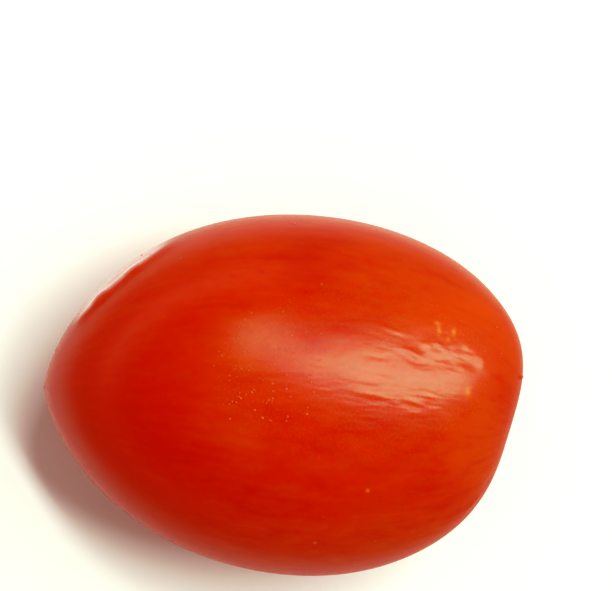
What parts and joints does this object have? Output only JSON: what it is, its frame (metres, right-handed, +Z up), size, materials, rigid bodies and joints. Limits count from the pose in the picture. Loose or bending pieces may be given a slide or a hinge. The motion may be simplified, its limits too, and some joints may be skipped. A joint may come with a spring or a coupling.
{
  "type": "plum tomato",
  "caption": "Ripe plum tomato without stalk or leaves, egg-shaped with a blunt stem end and a shallow scar basin, lying on a small flat spot.",
  "frame": {"origin": "under the middle of the fruit's bounding box, on the surface that the fruit rests on", "axes": "+X along the fruit from the blossom end to the stem end, +Z up from the resting surface"},
  "size_m": [0.0686, 0.052, 0.0485],
  "materials": {
    "ripe_skin": "glossy, slightly wrinkled skin, orange-red at the stem end and deeper red at the blossom end"
  },
  "bodies": {
    "root": {"tomato": "ripe_skin"}
  },
  "joints": []
}
